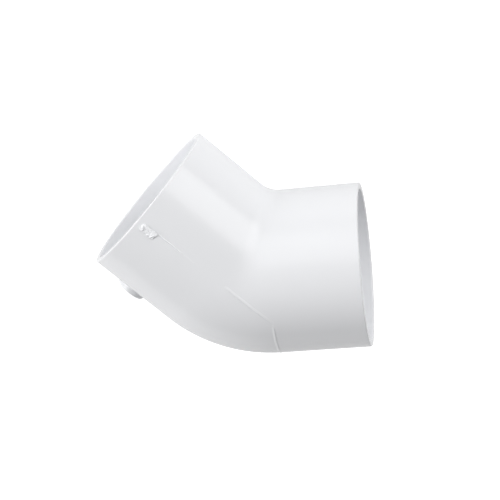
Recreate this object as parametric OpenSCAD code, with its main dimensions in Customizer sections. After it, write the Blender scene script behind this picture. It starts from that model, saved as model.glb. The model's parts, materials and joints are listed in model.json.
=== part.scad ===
// Moulded 45 degree conduit elbow with a socket at each end.
//
// Frame: the elbow lies on its side. The origin is the middle of the right socket's stop face, where
// the end of the conduit seats. +X runs along the right socket and out of its mouth, +Y points to the
// inside of the bend, and both socket axes lie in the XY plane, with the gate stub on top, at +Z.
//
// The shapes are drawn stood up, with the axes in the XZ plane and counted from the point where they
// cross, and place() lays them down. Most are drawn on the right arm, and other_arm() mirrors them
// over to the left one. The near side of the drawn shapes, -Y, becomes the top.

/* [Conduit] */
// Outside diameter of the conduit that the sockets take
conduit_od = 60.3; // [48:0.1:90]
// Gap all round between the conduit and the socket
socket_gap = 0.15; // [0.1:0.01:0.3]

/* [Sockets] */
// Depth of each socket, from its mouth to its stop face
socket_depth = 31; // [22:0.5:50]
// Wall at the mouth
mouth_wall = 2.7; // [2.2:0.1:5]
// Draft of the outside, in degrees, thinning the wall towards the bend
draft = 0.58; // [0:0.02:0.8]
// Height of the ledge that stops the conduit
stop_ledge = 2.1; // [1.6:0.1:4]
// Thickness of the ring that makes the inner part of the ledge
ring_wall = 1.2; // [0.8:0.1:1.5]
// Width of the ring, along the axis
stop_width = 5.3; // [3:0.1:10]
// Break on the outer edge of each mouth
rim_break = 0.5; // [0.2:0.1:0.8]
// Lead-in on the inner edge of each mouth
lead_in = 0.5; // [0.2:0.1:0.8]

/* [Bend] */
// Angle that the conduit run turns through
bend_angle = 45; // [30:0.5:60]
// Radius of the passage's inside corner, at the throat
throat_r = 3.7; // [2:0.1:30]
// Half width of the soft blend along the outside mitre
blend_half = 4.5; // [2:0.1:6]

/* [Mould marks] */
// Height that the seam beads stand proud
bead_height = 0.25; // [0.15:0.05:0.5]
// Width of the beads along the left arm
bead_width = 0.8; // [0.5:0.1:1.5]
// Width of the bead round the heel
heel_bead_width = 1; // [0.5:0.1:2]
// Length of the gate stub, along the arm
gate_length = 7.7; // [4:0.1:12]
// Width of the gate stub, round the arm
gate_width = 3.6; // [2.4:0.1:6]
// Height of the gate stub
gate_height = 1.2; // [0.6:0.1:2]
// Distance from the mouth to the gate stub
gate_from_mouth = 2.2; // [1:0.1:6]
// Wall left round the hollow in the gate stub's broken top
gate_lip = 0.8; // [0.5:0.1:1]
// Diameter of the round pad on the heel side
pad_d = 12.3; // [8:0.1:16]
// Height of the round pad
pad_height = 2; // [1:0.1:3]
// Distance from the mouth to the middle of the pad
pad_from_mouth = 18.7; // [12:0.1:20]
// Break on the pad's edge
pad_break = 0.4; // [0.1:0.1:0.8]

/* [Hidden] */
$fn = 180;

// Radii: the socket's bore, the passage behind it, the stop ring's seat, and the outside at the mouth
bore_r = conduit_od / 2 + socket_gap;
passage_r = bore_r - stop_ledge;
seat_r = passage_r + ring_wall;
mouth_r = bore_r + mouth_wall;

// Places along an arm, counted from the point where the two axes cross
bend_r = passage_r + throat_r;
bend_start = bend_r * tan(bend_angle / 2);
stop_at = bend_start + stop_width;
mouth_at = stop_at + socket_depth;
gate_end = mouth_at - gate_from_mouth;
gate_start = gate_end - gate_length;
pad_at = mouth_at - pad_from_mouth;

// Outer radius of an arm at a distance from the crossing
function outer_r(at) = mouth_r - (mouth_at - at) * tan(draft);

// Directions in the XZ plane: out along the left arm, and along the mitre between the arms
left_dir = [-cos(bend_angle), sin(bend_angle)];
mitre_dir = [sin(bend_angle / 2), cos(bend_angle / 2)];

// The seam plane holds the left axis and runs on under the right arm to the start of the bend
seam_foot = [bend_start, -bend_start * tan(bend_angle)];

// Longer than anything in the part, and a small overrun for clean cuts
reach = 3 * mouth_at;
over = 1;

// Facets of the blend, and how far its ends sit under the arms' skin
blend_fn = 96;
blend_sink = 0.05;
slice = 0.02;

// Depth of the hollow in the gate stub, and the gap between the stub and the bead beside it
gate_hollow = gate_height / 2;
bead_gap = 0.4;

// ---- frames ----

// From the drawn frame to the part's own: laid on its side, with the stop face at the origin
module place() rotate([-90, 0, 0]) translate([-stop_at, 0, 0]) children();

// Mirrors a shape on the right arm over to the left arm
module other_arm() mirror([mitre_dir[1], 0, -mitre_dir[0]]) children();

// Turns a shape about Z so that its axis lies along the right arm
module along_arm() rotate([0, 90, 0]) children();

// ---- solids and spaces that the pieces are cut from ----

// The filled outside of the right arm, from a station to the mouth
module arm_solid(from, grow = 0) {
    break_at = mouth_at - rim_break;
    along_arm()
        rotate_extrude()
            polygon([
                [0, from],
                [outer_r(from) + grow, from],
                [outer_r(break_at) + grow, break_at],
                [mouth_r - rim_break + grow, mouth_at],
                [0, mouth_at]
            ]);
}

// The space inside the right arm: the stop ring's seat, the bore, and the lead-in at the mouth
module socket_space() {
    along_arm()
        rotate_extrude()
            polygon([
                [0, bend_start],
                [seat_r, bend_start],
                [seat_r, stop_at],
                [bore_r, stop_at],
                [bore_r, mouth_at - lead_in],
                [bore_r + lead_in, mouth_at],
                [bore_r + lead_in, mouth_at + over],
                [0, mouth_at + over]
            ]);
}

// A round tube along the bend, kept outside a least radius from the middle of the bend
module bend_tube(r, least) {
    translate([bend_start, 0, bend_r])
        rotate([90, 0, 0])
            rotate([0, 0, -90 - bend_angle])
                rotate_extrude(angle = bend_angle)
                    intersection() {
                        translate([bend_r, 0]) circle(r = r);
                        translate([least, -r - over]) square([bend_r + r, 2 * (r + over)]);
                    }
}

// Everything that is open inside the elbow, apart from the stop rings' own holes
module inner_space() {
    bend_tube(passage_r, throat_r / 2);
    socket_space();
    other_arm() socket_space();
}

// An outline in the XZ plane, carried through the whole width of the part
module region(points) {
    rotate([90, 0, 0])
        linear_extrude(height = reach, center = true)
            polygon(points);
}

// Everything under the seam and left of the right socket
module below_seam() {
    region([[0, 0], reach * left_dir, [-reach, -reach], [bend_start, -reach], seam_foot]);
}

// The side of the mitre that the right arm is on, from a distance off the mitre outwards
module beyond_mitre(distance, depth = reach) {
    rotate([0, bend_angle / 2, 0])
        translate([distance, -reach / 2, -reach / 2])
            cube([depth, reach, reach]);
}

// The soft blend that bridges the mitre, as a band between one slice of each arm
module mitre_blend() {
    hull() {
        blend_end();
        other_arm() blend_end();
    }
}

// One end of the blend: a thin slice of the right arm, parallel to the mitre
module blend_end() {
    intersection() {
        arm_solid(-bend_start, -blend_sink, $fn = blend_fn);
        beyond_mitre(blend_half - slice, slice);
    }
}

// Outside of the upper half of the elbow: both arms, joined by the blend
module upper_half() {
    intersection() {
        arm_solid(-bend_start);
        beyond_mitre(blend_half);
    }
    other_arm()
        intersection() {
            arm_solid(-bend_start);
            beyond_mitre(blend_half);
        }
    mitre_blend();
}

// A straight bead along one side of the right arm, -1 for the near side and 1 for the far side
module arm_bead(from, to, side) {
    difference() {
        intersection() {
            arm_solid(bend_start, bead_height);
            translate([from, side > 0 ? 0 : -reach, -bead_width / 2])
                cube([to - from, reach, bead_width]);
        }
        arm_solid(0);
    }
}

// The ring of the ledge in the right arm
module stop_ring() {
    along_arm()
        translate([0, 0, bend_start])
            difference() {
                cylinder(r = seat_r, h = stop_width);
                translate([0, 0, -over]) cylinder(r = passage_r, h = stop_width + 2 * over);
            }
}

// ---- the pieces ----

// The whole right socket, and the right side of the bend above the seam
module right_socket() {
    color("#eef0f1")
        place()
            difference() {
                intersection() {
                    upper_half();
                    region([
                        [0, 0], seam_foot, [bend_start, -reach], [reach, -reach],
                        [reach, reach], reach * mitre_dir
                    ]);
                }
                inner_space();
            }
}

// The left arm and the inside of the bend above the seam
module left_upper_shell() {
    color("#e6e8ea")
        place()
            difference() {
                intersection() {
                    upper_half();
                    region([
                        [0, 0], reach * mitre_dir, reach * (mitre_dir + left_dir), reach * left_dir
                    ]);
                }
                inner_space();
            }
}

// The left arm below the seam, from the start of the bend to the mouth
module left_lower_shell() {
    color("#dfe1e4")
        place()
            difference() {
                intersection() {
                    other_arm() arm_solid(bend_start);
                    below_seam();
                }
                other_arm() socket_space();
            }
}

// The round heel of the bend
module heel_shell() {
    color("#dcdee1")
        place()
            difference() {
                intersection() {
                    bend_tube(outer_r(bend_start), bend_r / 2);
                    below_seam();
                }
                bend_tube(passage_r, throat_r / 2);
            }
}

// The ring that the conduit seats against in the right socket
module right_stop_ring() {
    color("#d2d5d9") place() stop_ring();
}

// The ring that the conduit seats against in the left socket
module left_stop_ring() {
    color("#d2d5d9") place() other_arm() stop_ring();
}

// The broken stub of the gate, beside the seam near the left mouth
module gate_stub() {
    top = outer_r(gate_end) + gate_height;
    color("#f4f5f6")
        place()
            other_arm()
                difference() {
                    translate([gate_start, -top, -gate_width])
                        cube([gate_length, top, gate_width]);
                    translate([gate_start + gate_lip, -top - over, gate_lip - gate_width])
                        cube([
                            gate_length - 2 * gate_lip,
                            gate_hollow + over,
                            gate_width - 2 * gate_lip
                        ]);
                    arm_solid(0);
                }
}

// The low round pad on the heel side of the left arm
module round_pad() {
    top = outer_r(pad_at) + pad_height;
    color("#e2e4e6")
        place()
            other_arm()
                difference() {
                    translate([pad_at, 0, 0])
                        rotate([180, 0, 0])
                            union() {
                                cylinder(d = pad_d, h = top - pad_break);
                                translate([0, 0, top - pad_break])
                                    cylinder(d1 = pad_d, d2 = pad_d - 2 * pad_break, h = pad_break);
                            }
                    arm_solid(0);
                }
}

// The bead where the mould halves met, on the side with the gate
module near_seam_bead() {
    color("#f4f5f6") place() other_arm() arm_bead(bend_start, gate_start - bead_gap, -1);
}

// The bead where the mould halves met, on the side away from the gate
module far_seam_bead() {
    color("#f4f5f6") place() other_arm() arm_bead(bend_start, gate_end, 1);
}

// The bead round the heel, just inside the start of the bend
module heel_seam_bead() {
    bead_start = bend_start - heel_bead_width;
    color("#f4f5f6")
        place()
            difference() {
                intersection() {
                    arm_solid(bead_start, bead_height);
                    translate([bead_start, -reach / 2, -reach])
                        cube([heel_bead_width, reach, reach + seam_foot[1]]);
                }
                arm_solid(0);
            }
}

right_socket();
left_upper_shell();
left_lower_shell();
heel_shell();
right_stop_ring();
left_stop_ring();
gate_stub();
round_pad();
near_seam_bead();
far_seam_bead();
heel_seam_bead();
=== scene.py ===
"""Finished surfaces, plastic and studio for a moulded 45 degree conduit elbow.

The elbow lies on its side: +X runs out of the right socket, +Y to the inside of the bend and +Z up.
Both arms are drawn once, on the right, and mirrored over the mitre between them.
"""
import json
import math

import bmesh
import bpy
from bpy.props import FloatProperty, FloatVectorProperty, IntProperty, PointerProperty
from mathutils import Euler, Matrix, Vector, noise
from mathutils.bvhtree import BVHTree


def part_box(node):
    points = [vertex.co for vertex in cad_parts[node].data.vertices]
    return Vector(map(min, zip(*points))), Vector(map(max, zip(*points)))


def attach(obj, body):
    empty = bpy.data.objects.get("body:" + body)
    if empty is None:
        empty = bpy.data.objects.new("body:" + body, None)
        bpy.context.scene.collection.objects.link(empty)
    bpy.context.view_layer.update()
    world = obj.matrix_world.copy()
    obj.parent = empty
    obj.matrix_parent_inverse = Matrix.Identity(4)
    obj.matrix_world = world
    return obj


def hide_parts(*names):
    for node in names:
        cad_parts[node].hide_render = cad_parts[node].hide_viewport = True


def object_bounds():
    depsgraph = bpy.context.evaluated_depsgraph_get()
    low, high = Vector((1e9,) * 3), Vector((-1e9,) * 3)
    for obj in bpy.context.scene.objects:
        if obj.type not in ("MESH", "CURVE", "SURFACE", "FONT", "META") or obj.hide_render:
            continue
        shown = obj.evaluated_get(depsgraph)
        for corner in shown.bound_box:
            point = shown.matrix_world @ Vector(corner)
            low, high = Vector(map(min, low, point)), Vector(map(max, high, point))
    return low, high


bl_info = {
    "name": "Conduit elbow finisher",
    "version": (1, 0, 0),
    "blender": (4, 5, 0),
    "location": "3D View > Sidebar > Elbow",
    "description": "Builds the moulded shells, mould marks, plastic and studio of a conduit elbow",
    "category": "Object",
}

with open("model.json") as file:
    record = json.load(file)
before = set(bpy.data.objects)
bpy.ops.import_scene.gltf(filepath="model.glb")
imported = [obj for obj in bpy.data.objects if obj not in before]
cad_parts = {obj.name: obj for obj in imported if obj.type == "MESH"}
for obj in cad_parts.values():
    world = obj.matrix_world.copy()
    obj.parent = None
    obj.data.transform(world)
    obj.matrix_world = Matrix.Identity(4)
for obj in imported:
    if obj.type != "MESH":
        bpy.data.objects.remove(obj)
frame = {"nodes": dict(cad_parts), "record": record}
CAD_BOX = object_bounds()
MM = 0.001
TINY = 1e-6
NEAR = 10 * TINY

# ---- places that the frame gives ----

MOUNTS = {mount["name"]: mount for mount in frame["record"]["mounts"]}
RIGHT_STOP = Vector(MOUNTS["right_socket"]["pos_m"])
LEFT_STOP = Vector(MOUNTS["left_socket"]["pos_m"])
RIGHT = Vector(MOUNTS["right_socket"]["axis"]).normalized()
LEFT = Vector(MOUNTS["left_socket"]["axis"]).normalized()
UP = Vector((0, 0, 1))

# Distance from the crossing of the two axes to each stop face, and the crossing itself
STOP_AT = (LEFT_STOP - RIGHT_STOP).length / (LEFT - RIGHT).length
CROSSING = RIGHT_STOP - RIGHT * STOP_AT
TURN = RIGHT.angle(-LEFT)

# Stations along an arm, counted from the crossing, and radii round its axis
MOUTH_AT = STOP_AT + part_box("right_socket")[1].x
BEND_AT = STOP_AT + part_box("right_stop_ring")[0].x
BORE_R = MOUNTS["right_socket"]["dims"]["r_mm"] * MM
SEAT_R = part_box("right_stop_ring")[1].y
MOUTH_R = -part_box("right_socket")[0].y
BEND_OUTER_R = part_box("heel_shell")[1].z
BEND_R = BEND_AT / math.tan(TURN / 2)
BEND_CENTRE = CROSSING + RIGHT * BEND_AT + UP.cross(RIGHT) * BEND_R

# The seam runs past the crossing to here, where the bend starts under the right arm
SEAM_END_AT = BEND_AT / math.cos(TURN)

# Planes that part the shells, each as a point and a normal
MITRE = (CROSSING, (RIGHT - LEFT).normalized())
SEAM = (CROSSING, LEFT.cross(UP))
RIGHT_BEND = (CROSSING + RIGHT * BEND_AT, RIGHT)
LEFT_BEND = (CROSSING + LEFT * BEND_AT, LEFT)

# The support rings beside the mitre stand this many half widths of the blend away from it
BLEND_SUPPORT = 1.45

# What swaps the right arm and the left one
OVER_MITRE = (
    Matrix.Translation(CROSSING) @ Matrix.Scale(-1, 4, MITRE[1]) @ Matrix.Translation(-CROSSING)
)


def length(name, description, default):
    """A length in metres, shown in the scene's own units."""
    return FloatProperty(
        name=name, description=description, default=default, min=0, unit="LENGTH", precision=5
    )


def colour(name, description, default):
    """A colour without alpha."""
    return FloatVectorProperty(
        name=name, description=description, default=default, size=3, min=0, max=1, subtype="COLOR"
    )


def watts(name, description, default):
    """The power of a light."""
    return FloatProperty(name=name, description=description, default=default, min=0, subtype="POWER")


# ---- what a user can change ----

class ElbowShellSizes(bpy.types.PropertyGroup):
    """Sizes of the moulded shells and the stop rings."""

    rim_round: length("Rim round", "Radius on the outer edge of each mouth", 0.5 * MM)
    lead_round: length("Lead-in round", "Radius on the inner edge of each mouth", 0.5 * MM)
    blend_half: length("Blend", "Half width of the soft blend over the mitre", 3.9 * MM)
    ledge: length("Ledge", "Height of the ledge that stops the conduit", 2.1 * MM)
    ring_round: length("Ring round", "Radius on the edges of the stop rings", 0.4 * MM)
    seam_break: length("Seam break", "Width of the break along the heel's edges", 0.3 * MM)
    break_start: length("Break start", "How far the seam break runs on to the left arm", 6.0 * MM)
    sides: IntProperty(name="Sides", description="Steps round an arm", default=240, min=32)
    bend_steps: IntProperty(name="Bend steps", description="Steps along the bend", default=32)


class ElbowMarkSizes(bpy.types.PropertyGroup):
    """Sizes of the marks that the mould left."""

    gate_rise: length("Gate rise", "Height of the gate stub's torn edge", 1.1 * MM)
    gate_floor: length("Gate floor", "Height of the broken floor inside the stub", 0.42 * MM)
    gate_width: length("Gate width", "Width of the gate stub, round the arm", 3.6 * MM)
    bead_rise: length("Bead rise", "Height of the seam beads", 0.22 * MM)
    bead_width: length("Bead width", "Width of the seam beads", 0.7 * MM)
    heel_bead_width: length("Heel bead width", "Width of the bead round the heel", 1.1 * MM)
    flash_rise: length("Flash rise", "Height of the flash along the seam over the heel", 0.2 * MM)
    flash_width: length("Flash width", "Width of the flash along the seam over the heel", 1.3 * MM)
    flash_start: length("Flash start", "How far the flash runs on to the left arm", 6.5 * MM)
    pad_round: length("Pad round", "Radius on the edge of the round pad", 0.7 * MM)
    sink: length("Sink", "How deep the marks reach into the wall under them", 0.3 * MM)


class ElbowLook(bpy.types.PropertyGroup):
    """Colours and finish of the plastic."""

    body: colour("Plastic", "Colour of the moulded plastic", (0.868, 0.875, 0.895))
    fresh: colour("Fresh break", "Colour where the plastic is thin or was snapped", (0.895, 0.902, 0.922))
    speck: colour("Speck", "Colour of the odd dark speck in the plastic", (0.30, 0.29, 0.28))
    roughness: FloatProperty(
        name="Roughness", description="Roughness of the skin", default=0.25, min=0, max=1
    )
    torn_roughness: FloatProperty(
        name="Torn roughness", description="Roughness of the snapped gate", default=0.65, min=0, max=1
    )


SOFTBOX_SIZE = 1.2
SOFTBOX_DISTANCE = 1.5
CAMERA_LENS = 260
CAMERA_TILT = (-16.155, 4.585, -5.940)
CAMERA_AIM = CROSSING + Vector((3.34, 8.88, -2.86)) * MM
CAMERA_DISTANCE = 1.452


class ElbowStage(bpy.types.PropertyGroup):
    """Floor, lights and camera."""

    floor: colour("Floor", "Colour of the floor", (0.5, 0.5, 0.5))
    glow: FloatProperty(name="Floor glow", description="Light that the floor gives off", default=0.39)
    white: FloatProperty(
        name="Backdrop white", description="Extra glow that only the camera sees", default=0.5, min=0
    )
    left: watts("Left softbox", "Power of the softbox on the left", 16.8)
    right: watts("Right softbox", "Power of the softbox on the right", 12.2)
    back: watts("Back softbox", "Power of the softbox behind the throat", 4.1)
    sky: FloatProperty(name="Sky", description="Strength of the light from all round", default=0.235)


# ---- meshes ----

def draw_line(bm, points):
    """Adds an open line of edges through the points, and returns its vertices and edges."""
    verts = [bm.verts.new(point) for point in points]
    return verts + [bm.edges.new(pair) for pair in zip(verts, verts[1:])]


def on_arm(station, radius):
    """The point over the right arm's axis, at a station and a radius, on the top side."""
    return CROSSING + RIGHT * station + UP * radius


def arc(centre, radius, start, end, steps):
    """Points of an arc in the plane of station and radius, from one angle to another in degrees."""
    points = []
    for step in range(steps + 1):
        angle = math.radians(start + (end - start) * step / steps)
        points.append((centre[0] + radius * math.cos(angle), centre[1] + radius * math.sin(angle)))
    return points


def outer_r(station):
    """Outer radius of an arm at a station, with the draft that thins it towards the bend."""
    slope = (MOUTH_R - BEND_OUTER_R) / (MOUTH_AT - BEND_AT)
    return MOUTH_R - (MOUTH_AT - station) * slope


def arm_outline(sizes):
    """The right arm's skin as (station, radius): out to the mouth, round the rim and in to the passage."""
    rim, lead = sizes.rim_round, sizes.lead_round
    support = 0.4 * MM
    stations = [past * MM for past in (-24, 26, 32, 38, 44)] + [MOUTH_AT - rim - support]
    outline = [(station, outer_r(station)) for station in stations]
    outline += arc((MOUTH_AT - rim, MOUTH_R - rim), rim, 90, 0, 6)
    outline += arc((MOUTH_AT - lead, BORE_R + lead), lead, 0, -90, 6)
    outline += [
        (MOUTH_AT - lead - support, BORE_R),
        (STOP_AT + support, BORE_R),
        (STOP_AT, BORE_R),
        (STOP_AT, SEAT_R),
        (BEND_AT, SEAT_R),
        (BEND_AT, BORE_R - sizes.ledge),
    ]
    return outline


def spin_round(bm, geom, centre, axis, angle, steps, whole):
    """Spins edges about an axis into a skin, joined on itself where the turn is whole."""
    bmesh.ops.spin(
        bm, geom=geom, cent=centre, axis=axis, dvec=(0, 0, 0), angle=angle, steps=steps,
        use_merge=whole, use_normal_flip=False, use_duplicate=False,
    )


def merge(bm):
    """Joins vertices that lie on each other."""
    bmesh.ops.remove_doubles(bm, verts=bm.verts[:], dist=TINY)


def slice_at(bm, plane, geom=None, drop_behind=False):
    """Cuts the mesh, or some of it, along a plane, and may drop what is behind the plane."""
    if geom is None:
        geom = bm.verts[:] + bm.edges[:] + bm.faces[:]
    bmesh.ops.bisect_plane(
        bm, geom=geom, dist=TINY, plane_co=plane[0], plane_no=plane[1], clear_inner=drop_behind
    )


def side(point, plane):
    """Distance of a point in front of a plane."""
    return (point - plane[0]).dot(plane[1])


def mirror_over_mitre(bm):
    """Adds the left arm as the right one's mirror image, and joins the two along the mitre."""
    copy = bmesh.ops.duplicate(bm, geom=bm.verts[:] + bm.edges[:] + bm.faces[:])["geom"]
    faces = [item for item in copy if isinstance(item, bmesh.types.BMFace)]
    verts = [item for item in copy if isinstance(item, bmesh.types.BMVert)]
    bmesh.ops.transform(bm, matrix=OVER_MITRE, verts=verts)
    bmesh.ops.reverse_faces(bm, faces=faces)
    merge(bm)


def soften_mitre(bm, sizes):
    """Rounds the outside mitre with a band of one width, held by a support ring on each arm."""
    loop = [
        edge for edge in bm.edges
        if all(abs(side(vert.co, MITRE)) < TINY for vert in edge.verts)
    ]
    bmesh.ops.bevel(
        bm, geom=loop, offset=sizes.blend_half, offset_type="OFFSET", affect="EDGES",
        segments=14, profile=0.5, material=-1, clamp_overlap=False, loop_slide=True,
    )
    for way in (-1, 1):
        offset = MITRE[1] * way * sizes.blend_half * BLEND_SUPPORT
        slice_at(bm, (CROSSING + offset, MITRE[1]), geom=outside_geometry(bm))


def with_edges(faces):
    """Faces with their edges and vertices, as the operators want them."""
    edges = {edge for face in faces for edge in face.edges}
    verts = {vert for face in faces for vert in face.verts}
    return [*verts, *edges, *faces]


def outside_geometry(bm):
    """The outer skin between the mouths, without rims and bores."""
    faces = [face for face in bm.faces if min(arm_radius(vert.co) for vert in face.verts) > BORE_R + MM]
    return with_edges(faces)


def arm_radius(point):
    """Distance of a point from the axis of the arm that it is on."""
    axis = RIGHT if side(point, MITRE) > 0 else LEFT
    return (point - CROSSING).cross(axis).length


def both_arms(sizes):
    """The closed skin of both arms: a mitred outside, and a round passage between the two sockets."""
    bm = bmesh.new()
    points = [on_arm(station, radius) for station, radius in arm_outline(sizes)]
    spin_round(bm, draw_line(bm, points), CROSSING, RIGHT, math.tau, sizes.sides, True)
    merge(bm)
    slice_at(bm, MITRE, drop_behind=True)
    mirror_over_mitre(bm)
    soften_mitre(bm, sizes)
    passage = [
        edge for edge in bm.edges
        if edge.is_boundary and all(abs(side(vert.co, RIGHT_BEND)) < TINY for vert in edge.verts)
    ]
    sweep_bend(bm, passage, sizes)
    merge(bm)
    slice_at(bm, MITRE)
    slice_at(bm, SEAM)
    for plane in (RIGHT_BEND, LEFT_BEND):
        under = [face for face in bm.faces if side(face.calc_center_median(), SEAM) < 0]
        slice_at(bm, plane, geom=with_edges(under))
    return bm


def sweep_bend(bm, ring, sizes):
    """Sweeps a ring of edges from the right arm's end of the bend to the left arm's."""
    verts = {vert for edge in ring for vert in edge.verts}
    spin_round(bm, list(verts) + ring, BEND_CENTRE, UP, -TURN, sizes.bend_steps, False)


def keep_faces(bm, wanted):
    """Deletes every face whose middle isn't wanted."""
    unwanted = [face for face in bm.faces if not wanted(face.calc_center_median())]
    bmesh.ops.delete(bm, geom=unwanted, context="FACES")


def lies_in(edge, plane):
    """Whether an edge lies in a plane."""
    return all(abs(side(vert.co, plane)) < NEAR for vert in edge.verts)


def close_on(bm, plane):
    """Fills the open wall that lies in a plane, after joining its outer edge to its inner one.

    An edge that two planes share is left to the seam, which is closed last.
    """
    edges = [edge for edge in bm.edges if len(edge.link_faces) < 2 and lies_in(edge, plane)]
    if plane is not SEAM:
        edges = [edge for edge in edges if not lies_in(edge, SEAM)]
    counts = {}
    for edge in edges:
        for vert in edge.verts:
            counts[vert] = counts.get(vert, 0) + 1
    ends = [vert for vert, count in counts.items() if count == 1]
    while ends:
        end = ends.pop()
        other = min(ends, key=lambda vert: (vert.co - end.co).length)
        ends.remove(other)
        edges.append(bm.edges.new((end, other)))
    before = set(bm.faces)
    bmesh.ops.edgenet_fill(bm, edges=edges)
    caps = [face for face in bm.faces if face not in before]
    bmesh.ops.triangulate(bm, faces=caps)


def finish_piece(bm, name, node, material, smooth_to=32):
    """Turns a bmesh into a piece that rides on the root body, and stands for its CAD node if it has one."""
    merge(bm)
    bmesh.ops.recalc_face_normals(bm, faces=bm.faces[:])
    mesh = bpy.data.meshes.new(name)
    bm.to_mesh(mesh)
    bm.free()
    mesh.polygons.foreach_set("use_smooth", [True] * len(mesh.polygons))
    mesh.set_sharp_from_angle(angle=math.radians(smooth_to))
    mesh.materials.append(material)
    piece = bpy.data.objects.new(name, mesh)
    bpy.context.scene.collection.objects.link(piece)
    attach(piece, "root")
    if node:
        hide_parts(node)
    return piece


# ---- plastic ----

def link(tree, source, target):
    """Joins an output socket to an input socket."""
    tree.links.new(source, target)


def group_socket(group, name, kind, way, default=None):
    """Adds a named socket to a node group."""
    socket = group.interface.new_socket(name=name, in_out=way, socket_type=kind)
    if default is not None:
        socket.default_value = default


def math_node(tree, operation, first, second):
    """A Math node with each input either a socket or a number."""
    node = tree.nodes.new("ShaderNodeMath")
    node.operation = operation
    for index, value in enumerate((first, second)):
        if isinstance(value, (int, float)):
            node.inputs[index].default_value = value
        else:
            link(tree, value, node.inputs[index])
    return node.outputs[0]


def noise_node(tree, vector, scale, detail, roughness=0.5):
    """A Noise Texture's value."""
    node = tree.nodes.new("ShaderNodeTexNoise")
    node.inputs["Scale"].default_value = scale
    node.inputs["Detail"].default_value = detail
    node.inputs["Roughness"].default_value = roughness
    link(tree, vector, node.inputs["Vector"])
    return node.outputs["Fac"]


def map_range(tree, value, low, high, to_low, to_high):
    """A Map Range node's value, clamped."""
    node = tree.nodes.new("ShaderNodeMapRange")
    link(tree, value, node.inputs["Value"])
    for name, number in (("From Min", low), ("From Max", high), ("To Min", to_low), ("To Max", to_high)):
        node.inputs[name].default_value = number
    return node.outputs["Result"]


def mould_skin_group():
    """The fine skin of moulded plastic: its height, its roughness and a faint cloudiness of its colour."""
    group = bpy.data.node_groups.new("mould_skin", "ShaderNodeTree")
    group_socket(group, "Vector", "NodeSocketVector", "INPUT")
    group_socket(group, "Mean roughness", "NodeSocketFloat", "INPUT", 0.25)
    group_socket(group, "Coarseness", "NodeSocketFloat", "INPUT", 1.0)
    group_socket(group, "Height", "NodeSocketFloat", "OUTPUT")
    group_socket(group, "Roughness", "NodeSocketFloat", "OUTPUT")
    group_socket(group, "Cloud", "NodeSocketFloat", "OUTPUT")
    inside = group.nodes.new("NodeGroupInput")
    outside = group.nodes.new("NodeGroupOutput")
    place = inside.outputs["Vector"]
    peel = noise_node(group, place, 900, 2)
    swell = noise_node(group, place, 55, 1)
    scuff = noise_node(group, place, 70, 2)
    height = math_node(group, "ADD", math_node(group, "MULTIPLY", peel, 0.25), swell)
    height = math_node(group, "MULTIPLY", height, inside.outputs["Coarseness"])
    drift = map_range(group, scuff, 0.2, 0.8, -0.02, 0.02)
    rough = math_node(group, "ADD", inside.outputs["Mean roughness"], drift)
    link(group, height, outside.inputs["Height"])
    link(group, rough, outside.inputs["Roughness"])
    link(group, map_range(group, noise_node(group, place, 32, 3), 0.3, 0.7, 0, 1), outside.inputs["Cloud"])
    return group


def speck_group():
    """A mask of the odd dark speck: small round dots in a few of many cells."""
    group = bpy.data.node_groups.new("specks", "ShaderNodeTree")
    group_socket(group, "Vector", "NodeSocketVector", "INPUT")
    group_socket(group, "Size", "NodeSocketFloat", "INPUT", 0.05)
    group_socket(group, "Share", "NodeSocketFloat", "INPUT", 0.03)
    group_socket(group, "Mask", "NodeSocketFloat", "OUTPUT")
    inside = group.nodes.new("NodeGroupInput")
    outside = group.nodes.new("NodeGroupOutput")
    cells = group.nodes.new("ShaderNodeTexVoronoi")
    cells.inputs["Scale"].default_value = 170
    link(group, inside.outputs["Vector"], cells.inputs["Vector"])
    split = group.nodes.new("ShaderNodeSeparateColor")
    link(group, cells.outputs["Color"], split.inputs["Color"])
    near = math_node(group, "LESS_THAN", cells.outputs["Distance"], inside.outputs["Size"])
    few = math_node(group, "LESS_THAN", split.outputs["Red"], inside.outputs["Share"])
    link(group, math_node(group, "MULTIPLY", near, few), outside.inputs["Mask"])
    return group


def mix_colour(tree, factor, first, second):
    """A Mix node of two colours, each a socket or a colour."""
    node = tree.nodes.new("ShaderNodeMix")
    node.data_type = "RGBA"
    for name, value in (("Factor", factor), ("A", first), ("B", second)):
        sockets = [socket for socket in node.inputs if socket.name == name and socket.enabled]
        if isinstance(value, bpy.types.NodeSocket):
            link(tree, value, sockets[0])
        else:
            sockets[0].default_value = value
    return [socket for socket in node.outputs if socket.enabled][0]


def plastic(name, groups, base, roughness, coarseness, depth, specks):
    """White moulded plastic with its own roughness, grain and share of specks."""
    look = bpy.context.scene.elbow_look
    material = bpy.data.materials.new(name)
    material.use_nodes = True
    tree = material.node_tree
    shader = tree.nodes["Principled BSDF"]
    place = tree.nodes.new("ShaderNodeTexCoord").outputs["Object"]
    skin = tree.nodes.new("ShaderNodeGroup")
    skin.node_tree = groups["skin"]
    skin.inputs["Mean roughness"].default_value = roughness
    skin.inputs["Coarseness"].default_value = coarseness
    link(tree, place, skin.inputs["Vector"])
    dots = tree.nodes.new("ShaderNodeGroup")
    dots.node_tree = groups["specks"]
    dots.inputs["Share"].default_value = specks
    link(tree, place, dots.inputs["Vector"])
    shade = (*[channel * 0.985 for channel in base], 1)
    cloudy = mix_colour(tree, skin.outputs["Cloud"], shade, (*base, 1))
    spotted = mix_colour(tree, dots.outputs["Mask"], cloudy, (*look.speck, 1))
    bump = tree.nodes.new("ShaderNodeBump")
    bump.inputs["Strength"].default_value = 0.35
    bump.inputs["Distance"].default_value = depth
    link(tree, skin.outputs["Height"], bump.inputs["Height"])
    link(tree, spotted, shader.inputs["Base Color"])
    link(tree, skin.outputs["Roughness"], shader.inputs["Roughness"])
    link(tree, bump.outputs["Normal"], shader.inputs["Normal"])
    shader.inputs["IOR"].default_value = 1.53
    return material


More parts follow.
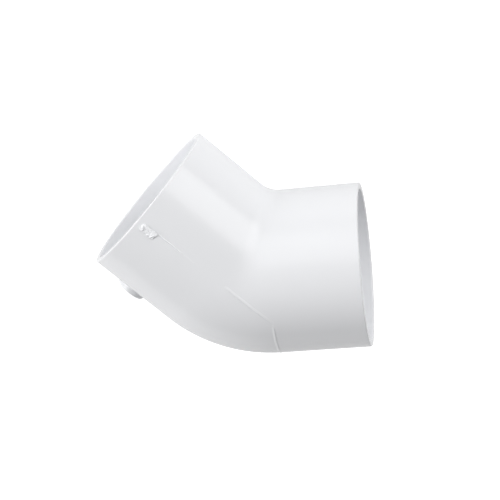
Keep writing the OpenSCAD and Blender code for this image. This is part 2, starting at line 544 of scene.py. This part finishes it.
def plastics():
    """The three finishes, made once. The frame's own plain materials already have the slots' names."""
    look = bpy.context.scene.elbow_look
    if "moulded_body" not in bpy.data.materials:
        groups = {"skin": mould_skin_group(), "specks": speck_group()}
        base, fresh = tuple(look.body), tuple(look.fresh)
        fine, deep = 0.05 * MM, 0.12 * MM
        plastic("moulded_body", groups, base, look.roughness, coarseness=1.0, depth=fine, specks=0.012)
        plastic("thin_flash", groups, fresh, look.roughness, coarseness=1.5, depth=fine, specks=0)
        plastic("torn_break", groups, fresh, look.torn_roughness, coarseness=4.0, depth=deep, specks=0)
    return bpy.data.materials


# ---- operators, one for each piece or group of like pieces ----

class ELBOW_OT_right_socket(bpy.types.Operator):
    """Make the right socket, with the right side of the bend above the seam"""

    bl_idname = "elbow.right_socket"
    bl_label = "Right socket"

    def execute(self, context):
        bm = both_arms(context.scene.elbow_shells)

        def wanted(middle):
            if side(middle, SEAM) > 0:
                return side(middle, MITRE) > 0
            return side(middle, RIGHT_BEND) > NEAR

        keep_faces(bm, wanted)
        for plane in (MITRE, RIGHT_BEND, SEAM):
            close_on(bm, plane)
        finish_piece(bm, "elbow_right_socket", "right_socket", plastics()["moulded_body"])
        return {"FINISHED"}


class ELBOW_OT_left_shells(bpy.types.Operator):
    """Make the upper and the lower shell of the left arm, which meet on the seam"""

    bl_idname = "elbow.left_shells"
    bl_label = "Left shells"

    def execute(self, context):
        sizes = context.scene.elbow_shells
        bm = both_arms(sizes)
        keep_faces(bm, lambda middle: side(middle, SEAM) > 0 and side(middle, MITRE) < 0)
        for plane in (MITRE, SEAM):
            close_on(bm, plane)
        finish_piece(bm, "elbow_left_upper", "left_upper_shell", plastics()["moulded_body"])
        bm = both_arms(sizes)
        keep_faces(bm, lambda middle: side(middle, SEAM) < 0 and side(middle, LEFT_BEND) > NEAR)
        for plane in (LEFT_BEND, SEAM):
            close_on(bm, plane)
        finish_piece(bm, "elbow_left_lower", "left_lower_shell", plastics()["moulded_body"])
        return {"FINISHED"}


class ELBOW_OT_heel(bpy.types.Operator):
    """Make the round heel of the bend, under the seam"""

    bl_idname = "elbow.heel"
    bl_label = "Heel"

    def execute(self, context):
        sizes = context.scene.elbow_shells
        bm = bmesh.new()
        for radius in (outer_r(BEND_AT), BORE_R - sizes.ledge):
            ring = bmesh.ops.create_circle(
                bm, segments=sizes.sides, radius=radius, matrix=arm_matrix(BEND_AT)
            )["verts"]
            edges = {edge for vert in ring for edge in vert.link_edges}
            sweep_bend(bm, list(edges), sizes)
        merge(bm)
        slice_at(bm, (SEAM[0], -SEAM[1]), drop_behind=True)
        for plane in (RIGHT_BEND, LEFT_BEND, SEAM):
            close_on(bm, plane)
        break_seam_edge(bm, sizes)
        finish_piece(bm, "elbow_heel", "heel_shell", plastics()["moulded_body"])
        return {"FINISHED"}


def break_seam_edge(bm, sizes):
    """Rounds the heel's outer edge along the seam, so that a fine groove shows beside the flash."""
    edge = [
        item for item in bm.edges
        if lies_in(item, SEAM)
        and all((vert.co - CROSSING).dot(LEFT) < sizes.break_start for vert in item.verts)
        and all(bend_radius(vert.co) > BORE_R + MM for vert in item.verts)
        and len({round(face.normal.dot(SEAM[1]), 2) for face in item.link_faces}) > 1
    ]
    bmesh.ops.bevel(
        bm, geom=edge, offset=sizes.seam_break, offset_type="OFFSET", affect="EDGES",
        segments=3, profile=0.5, material=-1, clamp_overlap=False,
    )


def bend_radius(point):
    """Distance of a point from the middle line of the bend."""
    flat = point - BEND_CENTRE
    level = flat.dot(UP)
    flat -= UP * level
    return math.hypot(flat.length - BEND_R, level)


def arm_matrix(station):
    """Places a shape drawn round Z on the right arm's axis, with a corner of its circle on top."""
    turned = Matrix((-UP, UP.cross(RIGHT), RIGHT)).transposed().to_4x4()
    return Matrix.Translation(CROSSING + RIGHT * station) @ turned


class ELBOW_OT_stop_rings(bpy.types.Operator):
    """Make the ring in each socket that the end of the conduit seats against"""

    bl_idname = "elbow.stop_rings"
    bl_label = "Stop rings"

    def execute(self, context):
        sizes = context.scene.elbow_shells
        inner, round_r = BORE_R - sizes.ledge, sizes.ring_round
        outline = arc((STOP_AT - round_r, inner + round_r), round_r, -90, 0, 5)
        outline += [(STOP_AT, SEAT_R), (BEND_AT, SEAT_R), (BEND_AT, inner)]
        points = [on_arm(station, radius) for station, radius in outline + outline[:1]]
        for way in ("right", "left"):
            bm = bmesh.new()
            spin_round(bm, draw_line(bm, points), CROSSING, RIGHT, math.tau, sizes.sides, True)
            merge(bm)
            if way == "left":
                to_left_arm(bm)
            name = f"{way}_stop_ring"
            finish_piece(bm, f"elbow_{name}", name, plastics()["moulded_body"])
        return {"FINISHED"}


def to_left_arm(bm):
    """Mirrors a whole mesh from the right arm over to the left one."""
    bmesh.ops.transform(bm, matrix=OVER_MITRE, verts=bm.verts[:])
    bmesh.ops.reverse_faces(bm, faces=bm.faces[:])


def relief(bm, columns, rows, shape, sink):
    """Makes a closed low relief: a grid whose points shape() places, with sides that reach under it.

    shape takes two shares from 0 to 1 and gives a point on the skin and the height over it.
    """
    bmesh.ops.create_grid(bm, x_segments=columns, y_segments=rows, size=0.5)
    for vert in bm.verts:
        point, height = shape(vert.co.x + 0.5, vert.co.y + 0.5)
        vert.co = point + UP * height
    sides = bmesh.ops.extrude_face_region(bm, geom=bm.faces[:], use_keep_orig=True)["geom"]
    lower = [item for item in sides if isinstance(item, bmesh.types.BMVert)]
    for vert in lower:
        vert.co.z -= sink


def over_left_arm(station, across):
    """The point of the left arm's outer skin over a station, a little across from the seam."""
    radius = outer_r(station)
    outward = SEAM[1]
    return CROSSING + LEFT * station + outward * across + UP * math.sqrt(radius**2 - across**2)


class ELBOW_OT_gate_stub(bpy.types.Operator):
    """Make the broken stub of the gate, beside the seam near the left mouth"""

    bl_idname = "elbow.gate_stub"
    bl_label = "Gate stub"

    def execute(self, context):
        sizes = context.scene.elbow_marks
        low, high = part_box("gate_stub")
        middle = (low + high) / 2
        # the box holds the stub at 45 degrees, so its side is the length and width over the root of 2
        long = (high.x - low.x) / math.cos(math.pi / 4) - sizes.gate_width
        start = (middle - CROSSING).dot(LEFT) - long / 2

        def shape(along, across):
            point = over_left_arm(start + along * long, -across * sizes.gate_width)
            return point, torn_height(along * long, across * sizes.gate_width, long, sizes)

        bm = bmesh.new()
        relief(bm, 96, 48, shape, sizes.sink)
        finish_piece(bm, "elbow_gate_stub", "gate_stub", plastics()["torn_break"], 60)
        return {"FINISHED"}


def torn_height(along, across, long, sizes):
    """Height of the snapped gate over the skin, from lumps along its torn edges and a low floor.

    along runs from the bend's end to the mouth's, and across from the seam outwards. Each lump is a
    ridge between two points, with a half width and a share of the full height.
    """
    end = long / MM
    lumps = (
        ((0.8, 0.75), (end - 1.1, 0.7), 0.62, 0.75),
        ((0.75, 0.85), (1.0, 0.9), 0.75, 1.0),
        ((0.9, 1.0), (1.9, 2.9), 0.5, 0.75),
        ((1.9, 1.7), (2.3, 1.6), 0.6, 0.65),
        ((end - 1.0, 0.8), (end - 1.6, 2.6), 0.62, 0.78),
        ((3.1, 2.95), (3.4, 2.9), 0.5, 0.6),
        ((4.9, 2.9), (5.2, 2.85), 0.36, 0.34),
    )
    torn = noise.noise(Vector((along / MM * 1.1, across / MM * 1.3, 0.4)))
    rise = 0.0
    for first, last, half, share in lumps:
        reach = distance_to_line(along / MM, across / MM, first, last) / (half * (1 + 0.22 * torn))
        if reach < 1:
            rise = max(rise, share * (1 - reach**2) ** 0.6)
    border = min(along, long - along, across, sizes.gate_width - across) / MM
    floor = sizes.gate_floor * min(1.0, 2.2 * border - 0.9 + torn)
    return max(sizes.gate_rise * rise * (1 + 0.18 * torn), floor * (1 + 0.4 * torn)) - 0.02 * MM


def distance_to_line(x, y, first, last):
    """Distance in millimetres of a point from the stretch between two points."""
    run = Vector(last) - Vector(first)
    share = (Vector((x, y)) - Vector(first)).dot(run) / run.length_squared
    return (Vector((x, y)) - Vector(first) - run * min(1.0, max(0.0, share))).length


def fade(share, whole_to, gone_at):
    """1 up to one share of a length, and 0 from another share on."""
    return min(1.0, max(0.0, (gone_at - share) / (gone_at - whole_to)))


def reach_along(node, direction):
    """Least and greatest distance of a CAD node's vertices from the crossing, along a direction."""
    reach = [(vert.co - CROSSING).dot(direction) for vert in frame["nodes"][node].data.vertices]
    return min(reach), max(reach)


class ELBOW_OT_round_pad(bpy.types.Operator):
    """Make the low round pad on the heel side of the left arm"""

    bl_idname = "elbow.round_pad"
    bl_label = "Round pad"

    def execute(self, context):
        sizes = context.scene.elbow_marks
        low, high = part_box("round_pad")
        radius = (high.z - low.z) / 2
        station = ((low + high) / 2 - CROSSING).dot(LEFT)
        out = -SEAM[1]
        foot, top = reach_along("round_pad", out)
        foot -= sizes.sink
        middle = CROSSING + LEFT * station + out * (foot + top) / 2
        turned = Matrix((LEFT, out.cross(LEFT), out)).transposed().to_4x4()
        bm = bmesh.new()
        bmesh.ops.create_cone(
            bm, cap_ends=True, segments=72, radius1=radius, radius2=radius, depth=top - foot,
            matrix=Matrix.Translation(middle) @ turned,
        )
        edge = [
            item for item in bm.edges
            if all((vert.co - CROSSING).dot(out) > top - TINY for vert in item.verts)
        ]
        bmesh.ops.bevel(
            bm, geom=edge, offset=sizes.pad_round, offset_type="OFFSET", affect="EDGES",
            segments=6, profile=0.5, material=-1,
        )
        finish_piece(bm, "elbow_round_pad", "round_pad", plastics()["moulded_body"])
        return {"FINISHED"}


class ELBOW_OT_seam_beads(bpy.types.Operator):
    """Make the thin beads of flash along the seam and round the heel"""

    bl_idname = "elbow.seam_beads"
    bl_label = "Seam beads"

    def execute(self, context):
        sizes = context.scene.elbow_marks
        for node, way in (("near_seam_bead", 1), ("far_seam_bead", -1)):
            bm = bmesh.new()
            arm_bead(bm, *reach_along(node, LEFT), sizes)
            if way < 0:
                bmesh.ops.transform(bm, matrix=Matrix.Scale(-1, 4, UP), verts=bm.verts[:])
                bmesh.ops.reverse_faces(bm, faces=bm.faces[:])
            finish_piece(bm, f"elbow_{node}", node, plastics()["thin_flash"], 60)
        bm = bmesh.new()
        heel_bead(bm, sizes)
        finish_piece(bm, "elbow_heel_bead", "heel_seam_bead", plastics()["thin_flash"], 60)
        return {"FINISHED"}


def arm_bead(bm, start, end, sizes):
    """A bead along the left arm that is fullest by the mouth and dies away towards the bend."""
    def shape(along, across):
        offset = (across - 0.5) * sizes.bead_width
        waver = noise.noise(Vector((along * 11, 2.7, 0)))
        offset += 0.06 * MM * waver
        crown = 1 - (2 * across - 1) ** 2
        dying = 1 - fade(along, 0.3, 0.75)
        height = sizes.bead_rise * crown * dying * (0.9 + 0.3 * waver)
        return over_left_arm(start + along * (end - start), offset), height - 0.01 * MM

    relief(bm, 90, 8, shape, sizes.sink)


def heel_bead(bm, sizes):
    """The bead round the heel, where the bend starts, from the seam on top to the seam below."""
    drop = BEND_AT * math.tan(TURN)
    first = math.acos(min(1.0, drop / outer_r(BEND_AT)))
    bmesh.ops.create_grid(bm, x_segments=120, y_segments=8, size=0.5)
    for vert in bm.verts:
        share, across = vert.co.x + 0.5, vert.co.y + 0.5
        angle = first * (1 - 2 * share)
        crown = math.sin(math.pi * across**0.6)
        waver = 0.85 + 0.25 * noise.noise(Vector((share * 14, 5.1, 0)))
        ends = min(1.0, 14 * min(share, 1 - share)) * (0.35 + 0.65 * abs(2 * share - 1))
        station = BEND_AT - across * sizes.heel_bead_width
        radius = outer_r(station) + sizes.bead_rise * crown * waver * ends
        down = UP.cross(RIGHT) * -1
        vert.co = CROSSING + RIGHT * station + (down * math.cos(angle) + UP * math.sin(angle)) * radius
    skin = bmesh.ops.extrude_face_region(bm, geom=bm.faces[:], use_keep_orig=True)["geom"]
    for vert in [item for item in skin if isinstance(item, bmesh.types.BMVert)]:
        foot = CROSSING + RIGHT * (vert.co - CROSSING).dot(RIGHT)
        vert.co = foot + (vert.co - foot).normalized() * (outer_r(BEND_AT) - sizes.sink)


class ELBOW_OT_seam_flash(bpy.types.Operator):
    """Make the flash along the seam between the hub and the heel, on both sides of the elbow"""

    bl_idname = "elbow.seam_flash"
    bl_label = "Seam flash"

    def execute(self, context):
        sizes = context.scene.elbow_marks
        shells = both_arms(context.scene.elbow_shells)
        skin = BVHTree.FromBMesh(shells)
        shells.free()
        span = sizes.flash_start + SEAM_END_AT

        def shape(along, across):
            foot = CROSSING + LEFT * (sizes.flash_start - along * span)
            foot += SEAM[1] * (across - 0.25) * sizes.flash_width
            waver = noise.noise(Vector((along * 7, across, 8.2)))
            crown = math.sin(math.pi * across**0.6)
            ends = min(1.0, along * 12, (1 - along) * 8) * (1.25 - 0.5 * along)
            height = sizes.flash_rise * crown * ends * (1 + 0.35 * waver)
            return skin.ray_cast(foot + UP * 2 * MOUTH_R, -UP)[0], height - 0.01 * MM

        bm = bmesh.new()
        relief(bm, 110, 12, shape, sizes.sink)
        bmesh.ops.mirror(bm, geom=bm.verts[:] + bm.edges[:] + bm.faces[:], axis="Z", merge_dist=0)
        finish_piece(bm, "elbow_seam_flash", None, plastics()["thin_flash"], 60)
        return {"FINISHED"}


class ELBOW_OT_stage(bpy.types.Operator):
    """Make the pale floor, the soft studio light and the camera"""

    bl_idname = "elbow.stage"
    bl_label = "Stage"

    def execute(self, context):
        make_floor()
        make_lights()
        make_camera()
        return {"FINISHED"}


def make_floor():
    """A pale floor that the elbow lies on, with a faint glow like a light table's."""
    stage = bpy.context.scene.elbow_stage
    bm = bmesh.new()
    bmesh.ops.create_grid(
        bm, x_segments=1, y_segments=1, size=4, matrix=Matrix.Translation((0, 0, CAD_BOX[0][2]))
    )
    mesh = bpy.data.meshes.new("floor")
    bm.to_mesh(mesh)
    bm.free()
    material = bpy.data.materials.new("pale_floor")
    material.use_nodes = True
    shader = material.node_tree.nodes["Principled BSDF"]
    shader.inputs["Base Color"].default_value = (*stage.floor, 1)
    shader.inputs["Roughness"].default_value = 0.9
    shader.inputs["Specular IOR Level"].default_value = 0
    shader.inputs["Emission Color"].default_value = (1, 1, 1, 1)
    tree = material.node_tree
    seen = tree.nodes.new("ShaderNodeLightPath").outputs["Is Camera Ray"]
    extra = math_node(tree, "MULTIPLY", seen, stage.white)
    link(tree, math_node(tree, "ADD", extra, stage.glow), shader.inputs["Emission Strength"])
    mesh.materials.append(material)
    floor = bpy.data.objects.new("floor", mesh)
    bpy.context.scene.collection.objects.link(floor)


def make_light(name, power, azimuth, elevation):
    """A square softbox that looks at the crossing from an azimuth and elevation in degrees."""
    light = bpy.data.lights.new(name, "AREA")
    light.energy = power
    light.size = SOFTBOX_SIZE
    turn, rise = math.radians(azimuth), math.radians(elevation)
    away = Vector((math.cos(turn) * math.cos(rise), math.sin(turn) * math.cos(rise), math.sin(rise)))
    turned = away.to_track_quat("Z", "Y").to_matrix().to_4x4()
    lamp = bpy.data.objects.new(name, light)
    lamp.matrix_world = Matrix.Translation(CROSSING + away * SOFTBOX_DISTANCE) @ turned
    bpy.context.scene.collection.objects.link(lamp)


def make_lights():
    """A softbox on the left, one on the right, a weaker one over the throat, and a plain sky."""
    scene = bpy.context.scene
    stage = scene.elbow_stage
    make_light("left_softbox", stage.left, 180, 30)
    make_light("right_softbox", stage.right, 45, 30)
    make_light("back_softbox", stage.back, 90, 45)
    world = bpy.data.worlds.new("studio")
    world.use_nodes = True
    background = world.node_tree.nodes["Background"]
    background.inputs["Color"].default_value = (1, 1, 1, 1)
    background.inputs["Strength"].default_value = stage.sky
    scene.world = world
    scene.view_settings.view_transform = "Standard"


def make_camera():
    """The camera, almost straight above, with a long lens."""
    lens = bpy.data.cameras.new("camera")
    lens.lens = CAMERA_LENS
    lens.sensor_width = 36
    turned = Euler([math.radians(angle) for angle in CAMERA_TILT], "XYZ").to_matrix()
    place = CAMERA_AIM + turned @ Vector((0, 0, CAMERA_DISTANCE))
    camera = bpy.data.objects.new("camera", lens)
    camera.matrix_world = Matrix.Translation(place) @ turned.to_4x4()
    bpy.context.scene.collection.objects.link(camera)
    bpy.context.scene.camera = camera


class ELBOW_PT_panel(bpy.types.Panel):
    """Sizes, look and pieces of the elbow"""

    bl_idname = "ELBOW_PT_panel"
    bl_label = "Conduit elbow"
    bl_space_type = "VIEW_3D"
    bl_region_type = "UI"
    bl_category = "Elbow"

    def draw(self, context):
        for name, group in GROUPS:
            box = self.layout.box()
            box.label(text=group.__doc__)
            settings = getattr(context.scene, name)
            for field in group.__annotations__:
                box.prop(settings, field)
        for operator in OPERATORS:
            self.layout.operator(operator.bl_idname)


GROUPS = (
    ("elbow_shells", ElbowShellSizes),
    ("elbow_marks", ElbowMarkSizes),
    ("elbow_look", ElbowLook),
    ("elbow_stage", ElbowStage),
)
OPERATORS = (
    ELBOW_OT_right_socket,
    ELBOW_OT_left_shells,
    ELBOW_OT_heel,
    ELBOW_OT_stop_rings,
    ELBOW_OT_gate_stub,
    ELBOW_OT_round_pad,
    ELBOW_OT_seam_beads,
    ELBOW_OT_seam_flash,
    ELBOW_OT_stage,
)


def register():
    """Registers the settings, the operators and the panel."""
    for name, group in GROUPS:
        bpy.utils.register_class(group)
        setattr(bpy.types.Scene, name, PointerProperty(type=group))
    for cls in (*OPERATORS, ELBOW_PT_panel):
        bpy.utils.register_class(cls)


def unregister():
    """Takes away what register added."""
    for cls in (ELBOW_PT_panel, *reversed(OPERATORS)):
        bpy.utils.unregister_class(cls)
    for name, group in reversed(GROUPS):
        delattr(bpy.types.Scene, name)
        bpy.utils.unregister_class(group)


def main():
    """Builds every piece and the stage."""
    register()
    bpy.ops.elbow.right_socket()
    bpy.ops.elbow.left_shells()
    bpy.ops.elbow.heel()
    bpy.ops.elbow.stop_rings()
    bpy.ops.elbow.gate_stub()
    bpy.ops.elbow.round_pad()
    bpy.ops.elbow.seam_beads()
    bpy.ops.elbow.seam_flash()
    bpy.ops.elbow.stage()


if __name__ == "__main__":
    main()
